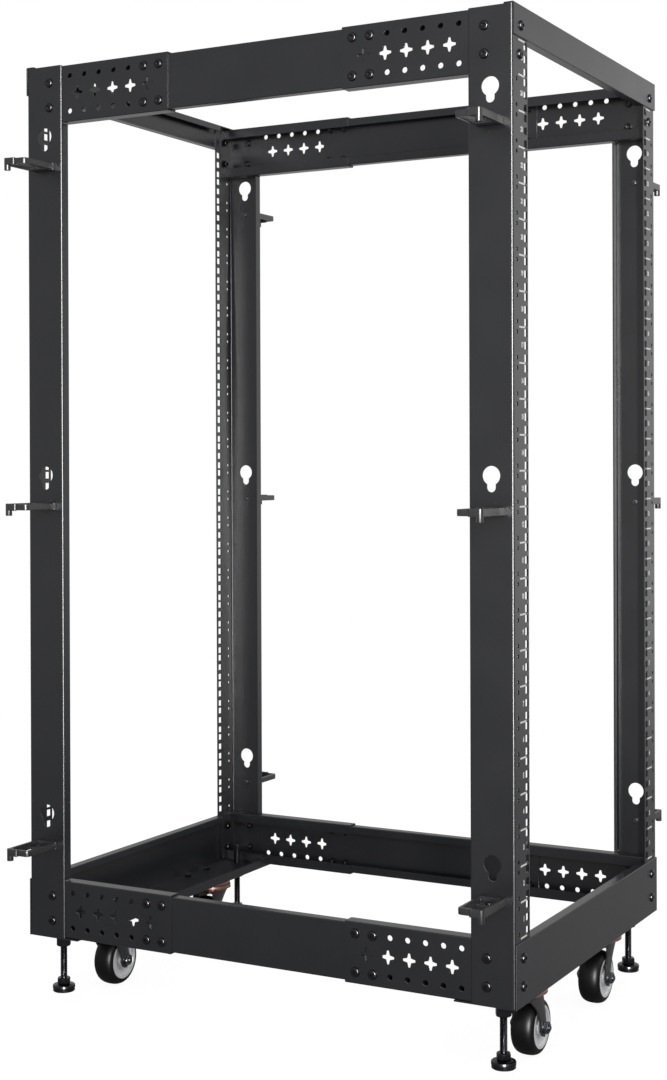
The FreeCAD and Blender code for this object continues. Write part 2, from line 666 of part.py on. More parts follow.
def make_wheel_part(name, corners):
    """Ring of a wheel, turned about the axle. A corner is a radius and a place across the wheel."""
    body = new_body(name)
    half = new_sketch(body, "section", "XY_Plane", "wheel / 2")
    turning_axis(half, "-wheel_x", "-caster_y", "-caster_y + wheel_width")
    polygon(half, [("-wheel_x + %s" % radius, "-caster_y + %s" % across)
                   for radius, across in corners])
    revolved(body, half, "ring")
    return body


def turning_axis(sketch, x, y_low, y_high):
    """Construction line to turn a section about."""
    start = FreeCAD.Vector(value(x), value(y_low), 0)
    end = FreeCAD.Vector(value(x), value(y_high), 0)
    line = sketch.addGeometry(Part.LineSegment(start, end), True)
    pin_point(sketch, line, 1, x, y_low)
    pin_point(sketch, line, 2, x, y_high)


def make_tyre(name):
    half = "wheel_width / 2"
    rim = "wheel / 2"
    return make_wheel_part(name, [
        ("hub / 2", "-" + half),
        (rim + " - tyre_shoulder / 2", "-" + half),
        (rim, "-(%s - tyre_shoulder)" % half),
        (rim, half + " - tyre_shoulder"),
        (rim + " - tyre_shoulder / 2", half),
        ("hub / 2", half),
    ])


def make_hub(name):
    """Hub of a wheel: a bored disc with a proud rim on both sides."""
    half = "wheel_width / 2"
    bore = "axle / 2 + axle_play"
    return make_wheel_part(name, [
        (bore, "-(%s - hub_dish)" % half),
        ("hub / 2 - hub_rim", "-(%s - hub_dish)" % half),
        ("hub / 2 - hub_rim", "-" + half),
        ("hub / 2", "-" + half),
        ("hub / 2", half),
        ("hub / 2 - hub_rim", half),
        ("hub / 2 - hub_rim", half + " - hub_dish"),
        (bore, half + " - hub_dish"),
    ])


def make_face_bolts(name):
    """Heads of the bolts on the faces of the beams."""
    body = new_body(name)
    heads = new_sketch(body, "head_outline", "XZ_Plane", "face")
    for side_sign in ("-", "+"):
        across = "%s(side - face_bolt_inset)" % side_sign
        for rail, sign in (("rail_high", "+"), ("rail_low", "-"), ("rail_low", "+")):
            height = "%s + rail_height / 2 %s bolt_spread / 2" % (rail, sign)
            regular(heads, across, height, "bolt_head / 2", 12)
    pad(body, heads, "heads", "bolt_head_height")
    return body


pieces = []
post = make_post("post_front_left")
pieces.append(post)
top_beam = make_top_beam("top_beam_front")
bottom_beam = make_bottom_beam("bottom_beam_front")
hooks = make_hooks("cable_hooks_front_left")
foot = make_foot("levelling_foot_front_left")
fork = make_fork("caster_fork_front_left")
axle = make_axle("caster_axle_front_left")
tyre = make_tyre("caster_tyre_front_left")
hub = make_hub("caster_hub_front_left")
rails = [make_outer_rail("lower_rail_front_left", "rail_low"),
         make_outer_rail("upper_rail_front_left", "rail_high")]
middle_rails = [make_middle_rail("lower_rail_middle_left", "rail_low"),
                make_middle_rail("upper_rail_middle_left", "rail_high")]
bolts = make_face_bolts("beam_bolts_front")
pieces += [top_beam, bottom_beam, bolts, hooks, foot, fork, axle, tyre, hub] + rails + middle_rails
pieces += [make_foot_nuts("levelling_nuts"), make_caster_plates("caster_plates"),
           make_bearings("caster_bearings")]

for front in (top_beam, bottom_beam, bolts):
    pieces.append(mirrored(front, front.Label.replace("front", "rear"), Y_AXIS))
for left in middle_rails:
    pieces.append(mirrored(left, left.Label.replace("left", "right"), X_AXIS))
for corner in [post, hooks, foot, fork, axle, tyre, hub] + rails:
    rear = mirrored(corner, corner.Label.replace("front", "rear"), Y_AXIS)
    right = mirrored(corner, corner.Label.replace("left", "right"), X_AXIS)
    far = mirrored(rear, rear.Label.replace("left", "right"), X_AXIS)
    pieces += [rear, right, far]

doc.recompute()
for thing in doc.Objects:
    if "Invalid" in thing.State or "Error" in thing.State:
        raise RuntimeError("%s failed: %s" % (thing.Label, thing.State))
for piece in pieces:
    if piece.Shape.isNull() or not piece.Shape.isValid():
        raise RuntimeError("%s has no valid shape" % piece.Label)

os.makedirs("parts", exist_ok=True)
for piece in pieces:
    piece.Shape.exportStep("parts/%s.step" % piece.Label)
    print("%-30s %2d solids %9.0f mm3" % (piece.Label, len(piece.Shape.Solids), piece.Shape.Volume))
print(len(pieces), "pieces")
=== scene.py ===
# %% [markdown]
# # A four post open frame rack
#
# The real rack is bent from 2 mm mild steel sheet, punched, powder coated black and bolted together. It
# stands on four swivel casters, with a levelling foot beside each. The solid frame comes ready made, so this
# lesson loads it, keeps its sizes, and gives each piece its folds, holes, fasteners, print and finish.

import json
import math

import bmesh
import bpy
import numpy as np
from mathutils import Matrix, Vector

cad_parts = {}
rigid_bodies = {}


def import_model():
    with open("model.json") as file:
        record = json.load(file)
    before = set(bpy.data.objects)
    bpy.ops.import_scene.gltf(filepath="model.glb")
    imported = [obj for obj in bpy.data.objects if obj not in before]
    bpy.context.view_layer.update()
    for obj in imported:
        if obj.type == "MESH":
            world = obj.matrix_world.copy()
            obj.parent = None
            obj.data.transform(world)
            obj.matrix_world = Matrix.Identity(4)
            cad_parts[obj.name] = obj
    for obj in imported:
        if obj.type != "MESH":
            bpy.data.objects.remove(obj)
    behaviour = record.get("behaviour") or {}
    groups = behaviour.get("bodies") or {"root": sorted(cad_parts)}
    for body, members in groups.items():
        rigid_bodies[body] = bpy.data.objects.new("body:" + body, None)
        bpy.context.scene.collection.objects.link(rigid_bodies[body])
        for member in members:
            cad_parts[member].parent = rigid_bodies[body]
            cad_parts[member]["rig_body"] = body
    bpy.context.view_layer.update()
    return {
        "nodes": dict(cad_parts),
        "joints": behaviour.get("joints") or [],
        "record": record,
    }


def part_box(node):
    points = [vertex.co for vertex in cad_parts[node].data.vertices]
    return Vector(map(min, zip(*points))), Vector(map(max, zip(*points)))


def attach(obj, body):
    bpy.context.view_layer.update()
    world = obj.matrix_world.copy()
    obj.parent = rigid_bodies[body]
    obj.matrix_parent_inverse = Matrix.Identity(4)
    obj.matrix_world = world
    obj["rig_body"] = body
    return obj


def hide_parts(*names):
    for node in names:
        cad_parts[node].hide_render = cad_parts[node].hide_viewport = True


MM = 0.001
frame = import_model()
nodes = frame["nodes"]

# %% [markdown]
# The corners of the rack mirror each other. A corner is named for its end and its side, and its two signs
# say which way lies outwards. The places that all later cells need are read from the frame rather than typed
# again, so that the dressing follows the solids.

# %% Places on the frame
CORNERS = {
    "front_left": (-1, -1),
    "front_right": (1, -1),
    "rear_left": (-1, 1),
    "rear_right": (1, 1),
}
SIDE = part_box("post_front_right")[1].x
BEAM_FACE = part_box("top_beam_rear")[1].y
POST_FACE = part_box("post_rear_right")[1].y
SHEET = BEAM_FACE - POST_FACE
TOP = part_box("top_beam_front")[1].z
BEAM_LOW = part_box("bottom_beam_front")[0].z
LOW_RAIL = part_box("lower_rail_front_left")[0].z
HIGH_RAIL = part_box("upper_rail_front_left")[0].z
RAIL_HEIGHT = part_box("lower_rail_front_left")[1].z - LOW_RAIL
LOW_MIDDLE = LOW_RAIL + RAIL_HEIGHT / 2
HIGH_MIDDLE = HIGH_RAIL + RAIL_HEIGHT / 2
UNITS = 25
RACK_UNIT = 44.45 * MM
FIRST_UNIT_RISE = 4.5 * MM
FIRST_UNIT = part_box("bottom_beam_front")[1].z + FIRST_UNIT_RISE
print("side, beam face, post face, top:", SIDE, BEAM_FACE, POST_FACE, TOP)

# %% [markdown]
# ## Finishes
#
# A finish is a small graph of nodes that ends in the Principled BSDF. Colours are written as the usual hex
# values and turned to the linear numbers that Blender works in. One function adds a node, sets its plain
# values and links its inputs, so each finish reads as a list of what the surface is made of. An image could
# carry the same blotches, but noise has no edges and needs no unwrapping.

# %% Helpers for finishes
def linear(code):
    """Hex colour to linear: c / 12.92 when dark, otherwise ((c + 0.055) / 1.055) to the power 2.4."""
    parts = np.array([int(code[i:i + 2], 16) for i in (1, 3, 5)]) / 255
    low = parts / 12.92
    high = ((parts + 0.055) / 1.055) ** 2.4
    return (*np.where(parts <= 0.04045, low, high).tolist(), 1.0)


def empty_tree(block):
    """The node tree of a material or a world, with no nodes in it."""
    block.use_nodes = True
    block.node_tree.nodes.clear()
    return block.node_tree


def add(tree, kind, settings=None, links=None):
    """Add a node, set its inputs or properties, and link other nodes' outputs to its inputs."""
    node = tree.nodes.new(kind)
    for key, setting in (settings or {}).items():
        if isinstance(key, int) or key in node.inputs:
            node.inputs[key].default_value = setting
        else:
            setattr(node, key, setting)
    for key, output in (links or {}).items():
        tree.links.new(output, node.inputs[key])
    return node


def finish(name, settings, light, dark, patch, grain, height, rough):
    """Principled BSDF with blotches of two colours one patch wide, a raised grain, and roughness that
    follows the blotches from its low to its high value."""
    material = bpy.data.materials.new(name)
    tree = empty_tree(material)
    shader = add(tree, "ShaderNodeBsdfPrincipled", settings)
    add(tree, "ShaderNodeOutputMaterial", links={"Surface": shader.outputs["BSDF"]})
    place = add(tree, "ShaderNodeTexCoord").outputs["Object"]
    blotch = add(tree, "ShaderNodeTexNoise", {"Scale": 1 / patch, "Detail": 3.0}, {"Vector": place})
    colour = add(tree, "ShaderNodeMix", {"data_type": "RGBA", 6: linear(dark), 7: linear(light)},
                 {"Factor": blotch.outputs[0]})
    tree.links.new(colour.outputs[2], shader.inputs["Base Color"])
    spread = add(tree, "ShaderNodeMapRange", {"To Min": rough[0], "To Max": rough[1]},
                 {"Value": blotch.outputs[0]})
    tree.links.new(spread.outputs[0], shader.inputs["Roughness"])
    fine = add(tree, "ShaderNodeTexNoise", {"Scale": 1 / grain, "Detail": 2.0}, {"Vector": place})
    bump = add(tree, "ShaderNodeBump", {"Distance": height, "Strength": 1.0}, {"Height": fine.outputs[0]})
    tree.links.new(bump.outputs[0], shader.inputs["Normal"])
    return material


# %% [markdown]
# Powder coat is a polyester paint, baked on. It flows into a fine orange peel, so it is drawn as a dielectric
# with a low, soft sheen and a grain of about 1.5 mm, as coarse as it needs to show.

# %% Powder coat
coat = finish("powder_coated_steel", {"IOR": 1.5, "Specular IOR Level": 0.5}, light="#16181e", dark="#111318",
              patch=70 * MM, grain=1.5 * MM, height=0.03 * MM, rough=(0.28, 0.36))
print("finish:", coat.name)

# %% [markdown]
# The fasteners are steel with a black oxide skin, which stays metallic and slightly glossy. The axle bolts
# are zinc plated, and the bearing rings have a copper coloured passivated skin. These three are pure metals
# to Blender. The forks are dipped in a thin black paint, so they are a dielectric like the coat.

# %% Metals
metal = {"Metallic": 1.0}
black_steel = finish("black_oxide_steel", metal, light="#3a3a3d", dark="#29292c",
                     patch=6 * MM, grain=0.4 * MM, height=0.01 * MM, rough=(0.2, 0.3))
zinc = finish("zinc_plated_steel", metal, light="#606265", dark="#424447",
              patch=5 * MM, grain=0.5 * MM, height=0.01 * MM, rough=(0.24, 0.36))
copper = finish("coppered_steel", metal, light="#bf9686", dark="#876456",
                patch=9 * MM, grain=0.5 * MM, height=0.015 * MM, rough=(0.26, 0.4))
fork_coat = finish("electrocoated_steel", {"IOR": 1.5, "Specular IOR Level": 0.45}, light="#2a2b2d",
                   dark="#1f2022", patch=25 * MM, grain=0.8 * MM, height=0.015 * MM, rough=(0.3, 0.42))
print("metals and the forks' paint:", black_steel.name, zinc.name, copper.name, fork_coat.name)

# %% [markdown]
# The cable hooks are moulded nylon: black, with a spark-eroded grain of half a millimetre. The tyres are
# thermoplastic rubber, duller than the nylon, and the hubs are grey polypropylene with a faint marbling.
# The print is a matt white ink. All four differ only in their colours, grain and roughness.

# %% Plastics, rubber and ink
nylon = finish("moulded_nylon", {"IOR": 1.53, "Specular IOR Level": 0.5}, light="#2a2b2e", dark="#202123",
               patch=20 * MM, grain=0.5 * MM, height=0.02 * MM, rough=(0.28, 0.4))
rubber = finish("tyre_rubber", {"IOR": 1.52, "Specular IOR Level": 0.14}, light="#151617", dark="#0e0f10",
                patch=15 * MM, grain=0.7 * MM, height=0.02 * MM, rough=(0.34, 0.46))
polypropylene = finish("grey_polypropylene", {"IOR": 1.49}, light="#f0f0f1", dark="#d8d9db",
                       patch=7 * MM, grain=0.6 * MM, height=0.015 * MM, rough=(0.3, 0.42))
ink = finish("screen_print_ink", {"IOR": 1.5}, light="#f4f4f2", dark="#dcdcd8",
             patch=4 * MM, grain=0.3 * MM, height=0.01 * MM, rough=(0.5, 0.62))
print("finishes:", len(bpy.data.materials))

# %% [markdown]
# ## Shapes from arrays
#
# Most small pieces are closed surfaces worked out whole, as arrays of points with rows and columns. They
# could be modelled by hand from cylinders, but a formula is exact, and it is quick to repeat at each corner.

# %% Helpers for arrays
def grid_faces(rows, columns):
    """Quads of a grid of points whose columns run round and meet: i, i+1 of a row and of the next row."""
    row = np.arange(rows - 1)[:, None] * columns
    here = np.arange(columns)[None, :]
    after = (here + 1) % columns
    return np.stack([row + here, row + after, row + columns + after, row + columns + here], -1).reshape(-1, 4)


def joined(shapes):
    """One (points, faces) pair from several, with the face numbers moved on by the points before them."""
    starts = np.cumsum([0] + [len(points) for points, _ in shapes[:-1]])
    return (np.concatenate([points for points, _ in shapes]),
            np.concatenate([faces + start for (_, faces), start in zip(shapes, starts)]))


def moved(shape, axis, at, sign=1):
    """Turn a shape that points along +Z to point along an axis, and put its foot at a place."""
    points, faces = shape
    turned_points = {"x": points[:, [2, 0, 1]], "y": points[:, [1, 2, 0]], "z": points}[axis] * 1.0
    if sign < 0:
        half_turn = {"x": [-1, -1, 1], "y": [1, -1, -1], "z": [-1, 1, -1]}[axis]
        turned_points = turned_points * np.array(half_turn)
    return turned_points + np.array(at), faces


def rings(turn, parts):
    """Grid of points from (radius, height) rings: x = r cos t, y = r sin t, where r may change with t."""
    rows = [np.stack([radius * np.cos(turn), radius * np.sin(turn), height + 0 * turn], -1)
            for radius, height in parts]
    return np.concatenate(rows), grid_faces(len(parts), len(turn))


def around(steps):
    """Turns from 0 up to a whole turn, in equal steps: t = 2 pi i / steps."""
    return np.arange(steps) * 2 * np.pi / steps


def turned(pairs, steps):
    """Shape turned on a lathe from (radius, height) pairs in millimetres: x = r cos t, y = r sin t."""
    return rings(around(steps), [(radius * MM, height * MM) for radius, height in pairs])


# %% [markdown]
# A mesh becomes a piece of the rack in two steps: it gets its shading and its finish, and it rides on one of
# the moving bodies.

# %% Helpers for pieces
CREASE = 35
FINE_CREASE = 30
DOUBLE = 1e-7


def placed(name, data):
    """New object that holds this data, linked to the scene."""
    thing = bpy.data.objects.new(name, data)
    bpy.context.scene.collection.objects.link(thing)
    return thing


def new_object(name, mesh, material, body, crease=CREASE):
    """Put a mesh in the scene: smooth shading with sharp folds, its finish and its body."""
    mesh.name = name
    thing = placed(name, mesh)
    mesh.materials.clear()
    mesh.materials.append(material)
    mesh.shade_smooth()
    mesh.set_sharp_from_angle(angle=math.radians(crease))
    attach(thing, body)
    return thing


def from_arrays(name, shape, material, body, crease=CREASE, closed=True):
    """Mesh from (points, faces) arrays, with doubled points merged so that poles and seams are closed.
    The faces of closed shapes are then turned to point outwards."""
    points, faces = shape
    mesh = bpy.data.meshes.new(name)
    mesh.from_pydata(points.tolist(), [], faces.tolist())
    work = bmesh.new()
    work.from_mesh(mesh)
    bmesh.ops.remove_doubles(work, verts=work.verts, dist=DOUBLE)
    bmesh.ops.dissolve_degenerate(work, dist=DOUBLE, edges=work.edges)
    if closed:
        bmesh.ops.recalc_face_normals(work, faces=work.faces)
    work.to_mesh(mesh)
    work.free()
    return new_object(name, mesh, material, body, crease)


# %% [markdown]
# ## Folded sheet
#
# A solid from a CAD program arrives as loose triangles with sharp folds. A copy of it is merged back into
# whole faces. Then the folds get a radius, as a press brake leaves it, and round holes are cut. A live Bevel
# breaks every other edge by a hair, so that it catches a line of light, and a Weighted Normal modifier keeps
# the wide faces flat in the shading. Bevelling every edge alike would round the punched holes as much as the
# folds, so the folds are found first: they are long, and lie between two wide faces.

# %% Helpers for sheet metal
LOOSE = 1e-6
NEARLY_FLAT = math.radians(0.5)
LONG_EDGE = 60 * MM
WIDE_FACE = 4 * MM
STEEP_FOLD = math.radians(60)
FOLD_STEPS = 4
BROKEN_ANGLE = math.radians(50)
FULL_WEIGHT = 100


def made_whole(work):
    """Merge a bmesh's doubled points, and join the triangles of each flat face."""
    bmesh.ops.remove_doubles(work, verts=work.verts, dist=LOOSE)
    bmesh.ops.dissolve_limit(work, angle_limit=NEARLY_FLAT, verts=work.verts, edges=work.edges)


def round_folds(work, radius, outward):
    """Round the long outward (or inward) edges between two wide faces: those that the press brake made.
    A face's width is its area over the edge's length."""
    found = []
    for edge in work.edges:
        length = edge.calc_length()
        if len(edge.link_faces) != 2 or edge.is_convex != outward or length < LONG_EDGE:
            continue
        width = min(face.calc_area() for face in edge.link_faces) / length
        if edge.calc_face_angle() >= STEEP_FOLD and width > WIDE_FACE:
            found.append(edge)
    if found:
        bmesh.ops.bevel(work, geom=found, offset=radius, segments=FOLD_STEPS, profile=0.5, affect="EDGES",
                        clamp_overlap=True)


def cut(mesh, shapes):
    """The mesh less all these closed shapes, as a new mesh."""
    points, faces = joined(shapes)
    cutter = bpy.data.meshes.new("tool")
    cutter.from_pydata(points.tolist(), [], faces.tolist())
    body = placed("work_body", mesh)
    tool = placed("work_tool", cutter)
    boolean = body.modifiers.new("cut", "BOOLEAN")
    boolean.operation = "DIFFERENCE"
    boolean.solver = "EXACT"
    boolean.object = tool
    graph = bpy.context.evaluated_depsgraph_get()
    result = bpy.data.meshes.new_from_object(body.evaluated_get(graph))
    bpy.data.objects.remove(body)
    bpy.data.objects.remove(tool)
    return result


def folded(node, outer=1.5 * MM, inner=0, cutters=(), material=coat,
           edge=0.3 * MM):
    """Visible copy of a sheet metal node. Outer and inner are the radii of its outward and inward folds, 0
    for none, and edge is the width of its broken edges. The cutters' holes are cut after the folds."""
    work = bmesh.new()
    work.from_mesh(nodes[node].data)
    made_whole(work)
    if outer:
        round_folds(work, outer, True)
    if inner:
        round_folds(work, inner, False)
    mesh = bpy.data.meshes.new(node + "_sheet")
    work.to_mesh(mesh)
    work.free()
    if cutters:
        mesh = cut(mesh, cutters)
        work = bmesh.new()
        work.from_mesh(mesh)
        made_whole(work)
        work.to_mesh(mesh)
        work.free()
    thing = new_object(node + "_sheet", mesh, material, nodes[node]["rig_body"])
    broken = thing.modifiers.new("broken_edges", "BEVEL")
    broken.width = edge
    broken.segments = 1
    broken.limit_method = "ANGLE"
    broken.angle_limit = BROKEN_ANGLE
    broken.harden_normals = True
    flat = thing.modifiers.new("flat_faces", "WEIGHTED_NORMAL")
    flat.mode = "FACE_AREA"
    flat.weight = FULL_WEIGHT
    flat.keep_sharp = True
    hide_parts(node)
    return thing


# %% [markdown]
# ## Posts
#
# Besides the square holes, each post has a column of small round holes in its numbered face: two to a unit,
# 6.35 mm in from the unit's lines, 12.5 mm from the corner. They could be cut one by one, but all 48 tools
# are one mesh, so one cut makes them. The fold is rounded on its inside too, where it shows from the front.

# %% Posts with their small round holes
SMALL_HOLE = 5.5 * MM
HOLE_INSET = 12.5 * MM
LINE_GAP = 6.35 * MM
TOOL_LENGTH = 6 * MM
POST_BEND = 2 * MM


def rod(radius, length, steps):
    """Closed cylinder along +Z: x = r cos t, y = r sin t, with a point at each end's middle."""
    return rings(around(steps), [(0, 0), (radius, 0), (radius, length), (0, length)])


unit_starts = FIRST_UNIT + RACK_UNIT * np.arange(UNITS - 1)
hole_heights = np.concatenate([unit_starts + LINE_GAP, unit_starts + RACK_UNIT - LINE_GAP])
small_tool = rod(SMALL_HOLE / 2, TOOL_LENGTH, 16)
for corner, (across, along) in CORNERS.items():
    x, y = across * (SIDE - HOLE_INSET), along * POST_FACE - TOOL_LENGTH / 2
    tools = [moved(small_tool, "y", (x, y, height)) for height in hole_heights]
    post = folded("post_" + corner, outer=0, inner=POST_BEND, cutters=tools)
    print(post.name, "faces:", len(post.data.polygons))

# %% [markdown]
# ## Beams
#
# The four beams close the top and the bottom of the rack at its front and its rear. They are plain channels
# with nothing left to punch, so they only need round folds.

# %% Beams
for node in ("top_beam_front", "top_beam_rear", "bottom_beam_front", "bottom_beam_rear"):
    beam = folded(node)
    print(beam.name, "faces:", len(beam.data.polygons))

# %% [markdown]
# ## Side rails
#
# A side is three nested channels, so that the rack's depth can be set. Their small holes were drawn
# eight-sided, so each is opened to a round one, and one more cross is punched where the middle rail closes it
# from behind. The cross is a prism of twelve corners, made from one quarter turned three times.

# %% Side rails
RAIL_HOLE = 7.6 * MM
RAIL_TOOL = 8 * MM
HOLE_COLUMNS = 75 * MM + 25 * MM * np.arange(5)
HOLE_ROWS = np.array([-25, 25]) * MM
CROSS_COLUMN = 208 * MM
CROSS_SPAN = 18 * MM
CROSS_ARM = 6 * MM
CROSS_DEPTH = 1.9 * MM


def cross_tool(at, span, arm, depth):
    """Closed cross shaped tool: twelve corners, each a quarter turn of three, carried along X."""
    quarter = np.array([[span / 2, arm / 4], [arm / 2, arm / 2], [arm / 4, span / 2]])
    turns = [quarter, quarter[::-1] * [-1, 1], quarter * [-1, -1], quarter[::-1] * [1, -1]]
    outline = np.concatenate(turns)
    flat = np.concatenate([outline * 0, outline, outline, outline * 0])
    out = np.repeat([-depth, -depth, depth, depth], len(outline))[:, None]
    return np.concatenate([out, flat], 1) + np.array(at), grid_faces(4, len(outline))


rail_tool = rod(RAIL_HOLE / 2, RAIL_TOOL, 20)
for level, middle in (("lower", LOW_MIDDLE), ("upper", HIGH_MIDDLE)):
    for corner, (across, along) in CORNERS.items():
        web = across * (SIDE - SHEET)
        tools = [moved(rail_tool, "x", (web - RAIL_TOOL / 2, along * (BEAM_FACE - column), middle + row))
                 for column in HOLE_COLUMNS for row in HOLE_ROWS]
        tools.append(cross_tool((web, along * (BEAM_FACE - CROSS_COLUMN), middle), CROSS_SPAN, CROSS_ARM,
                                CROSS_DEPTH))
        folded("%s_rail_%s" % (level, corner), cutters=tools)
    for side in ("left", "right"):
        folded("%s_rail_middle_%s" % (level, side))
print("tools for each outer rail:", len(tools))

# %% [markdown]
# ## Fasteners
#
# A button head screw is a surface of two numbers, the turn t and the ring. Rings of a circle and of a hexagon
# share the same turns, so a round head needs no boolean for its six-sided socket: the hexagon's radius is
# half its flats over cos of the angle to the nearest flat.

# %% Shapes of screws and nuts
def six_sided(turn, flats):
    """Radius of a hexagon at each turn: (flats / 2) / cos(((t + 30) mod 60) - 30), in degrees."""
    sixth = np.pi / 3
    return flats / 2 / np.cos((turn + sixth / 2) % sixth - sixth / 2)


def button_head(radius, height, flats, steps=24):
    """Dome r = R (0.6 + 0.4 sin s), z = h (0.15 + 0.85 cos s), with a six-sided socket sunk 0.6 of its
    height."""
    turn = around(steps)
    socket = six_sided(turn, flats)
    dome = [(radius * (0.6 + 0.4 * math.sin(s)), height * (0.15 + 0.85 * math.cos(s)))
            for s in np.linspace(0, np.pi / 2, 5)]
    parts = [(0, height * 0.4), (socket, height * 0.4), (socket, height * 0.93), (socket * 1.08, height)]
    points, faces = rings(turn, parts + dome + [(radius, 0), (0, 0)])
    return points, faces[:, ::-1]


def nut(flats, height, bore=0, steps=36, chamfer=0.16):
    """Six-sided ring whose corners are cut by a cone: r = min(hexagon, cone) near each end. The chamfer is
    a share of the height, and a bore of 0 makes a closed nut."""
    turn = around(steps)
    sides = six_sided(turn, flats)
    round_end = flats / 2 * 0.97 + 0 * turn
    clipped = np.minimum(sides, flats / 2 * 1.06)
    bevel = height * chamfer
    parts = [(bore, 0), (round_end, 0), (clipped, bevel * 0.45), (sides, bevel),
             (sides, height - bevel), (clipped, height - bevel * 0.45), (round_end, height), (bore, height)]
    return rings(turn, parts + [(bore, 0)] * (bore > 0))


# %% [markdown]
# Each side rail is held in a post by two screws through the side, and each beam by screws through its face.
# The nested rails are locked by four screws at the end of each outer rail. Behind each screw is a plain nut.
# The screws all fit one body, so they are one mesh, and so are the nuts.

# %% Screws and nuts of the frame
RAIL_BOLT_INSET = 38 * MM
BEAM_BOLT_INSET = 24 * MM
BOLT_SPREAD = 17.5 * MM
LOCK_COLUMNS = (200 * MM, 225 * MM)
LOCK_SPREAD = 25 * MM
screw = button_head(6.5 * MM, 3 * MM, flats=4 * MM)
small_nut = nut(10 * MM, 5 * MM, bore=3 * MM, steps=24)
heads, backs = [], []


def bolt(axis, head_at, nut_at, out):
    """Put a screw's head at one place, pointing out, and its nut at the other, pointing in."""
    heads.append(moved(screw, axis, head_at, out))
    backs.append(moved(small_nut, axis, nut_at, -out))


for across, along in CORNERS.values():
    for middle in (LOW_MIDDLE, HIGH_MIDDLE):
        for sign in (-1, 1):
            y, z = along * (POST_FACE - RAIL_BOLT_INSET), middle + sign * BOLT_SPREAD
            bolt("x", (across * SIDE, y, z), (across * (SIDE - 2 * SHEET), y, z), across)
            for column in LOCK_COLUMNS:
                y, z = along * (BEAM_FACE - column), middle + sign * LOCK_SPREAD
                bolt("x", (across * (SIDE - SHEET), y, z), (across * (SIDE - 3 * SHEET), y, z), across)
    for z, face in ((HIGH_MIDDLE + BOLT_SPREAD, BEAM_FACE), (HIGH_MIDDLE - BOLT_SPREAD, POST_FACE),
                    (LOW_MIDDLE + BOLT_SPREAD, BEAM_FACE), (LOW_MIDDLE - BOLT_SPREAD, BEAM_FACE)):
        x = across * (SIDE - BEAM_BOLT_INSET)
        bolt("y", (x, along * face, z), (x, along * (POST_FACE - 2 * SHEET), z), along)
all_heads = from_arrays("frame_screws", joined(heads), black_steel, "frame")
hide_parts("beam_bolts_front", "beam_bolts_rear")
from_arrays("frame_nuts", joined(backs), black_steel, "frame")
print("screws:", len(heads), "nuts:", len(backs))

# %% [markdown]
# ## Cable hooks
#
# A hook is a nylon ring that lies level, screwed to the post's side from outside, with a nut on the inside.
# Its two arms leave the post, turn in a wide corner and end in two rounded fingers that pass each other. An
# arm could be a bevelled curve, but one profile, a rounded bar, carried along a flat path keeps its sides
# upright and its two heights exact.

# %% Shapes of the cable hooks
BAR_SIDES = 16
ARM_SPREAD = 15.5 * MM
ARM_BEND = 3 * MM


def carried(path, width, height, corner=1.2 * MM):
    """Bar along a flat path: point + a n + b z, where (a, b) runs round a rounded rectangle and n is the
    path's normal. Each end is closed by a ring shrunk to its middle point."""
    step = np.gradient(path, axis=0)
    step /= np.linalg.norm(step, axis=1)[:, None]
    normal = np.stack([-step[:, 1], step[:, 0]], -1)
    turn = around(BAR_SIDES) + np.pi / BAR_SIDES
    a = np.clip(np.cos(turn) * width, -width / 2 + corner, width / 2 - corner) + corner * np.cos(turn)
    b = np.clip(np.sin(turn) * height, -height / 2 + corner, height / 2 - corner) + corner * np.sin(turn)
    flat = path[:, None] + normal[:, None] * a[None, :, None]
    points = np.concatenate([flat, np.broadcast_to(b[None, :, None], (*flat.shape[:2], 1))], -1)
    ends = [np.broadcast_to(np.append(path[i], 0), (1, BAR_SIDES, 3)) for i in (0, -1)]
    points = np.concatenate([ends[0], points, ends[1]]).reshape(-1, 3)
    return points, grid_faces(len(path) + 2, BAR_SIDES)[:, ::-1]


def arm(side, reach, finger):
    """Path of one arm: straight out, a quarter circle, then in along the end to the finger's tip."""
    gap = 1 * MM
    s = np.linspace(0, np.pi / 2, 9)
    out = np.stack([np.linspace(gap, reach - ARM_BEND - gap, 8), np.full(8, ARM_SPREAD)], -1)
    side_start = ARM_SPREAD - ARM_BEND
    corner = np.stack([reach - ARM_BEND + ARM_BEND * np.sin(s), side_start + ARM_BEND * np.cos(s)], -1)
    tip = np.stack([np.full(3, reach), np.linspace(side_start - gap, finger, 3)], -1)
    return np.concatenate([out, corner, tip]) * [1, side]


def plate(x, y, z, corner=0.6 * MM):
    """Block between (low, high) pairs in millimetres, a grid of eight corners: each upright corner is cut
    back a little, and each flat end is drawn in by 1.5%."""
    (x0, x1), (y0, y1), (z0, z1) = np.array([x, y, z]) * MM
    outline = np.array([(x0 + corner, y0), (x1 - corner, y0), (x1, y0 + corner), (x1, y1 - corner),
                        (x1 - corner, y1), (x0 + corner, y1), (x0, y1 - corner), (x0, y0 + corner)])
    middle = outline.mean(0)
    point = np.broadcast_to(middle, (8, 2))
    inset = middle + (outline - middle) * 0.985
    heights = np.repeat([z0, z0, z0 + corner / 2, z1 - corner / 2, z1, z1], 8)[:, None]
    return (np.concatenate([np.concatenate([point, inset, outline, outline, inset, point]), heights], 1),
            grid_faces(6, 8))


def finger_end(height, x, y):
    """Rounded end of a finger, as high as its arm in millimetres: an upright pin 5 mm thick."""
    pairs = [(0, 0), (2, 0), (2.5, 0.6), (2.5, height - 0.6), (2, height), (0, height)]
    return moved(turned(pairs, BAR_SIDES), "z", (x, y, -height / 2 * MM))


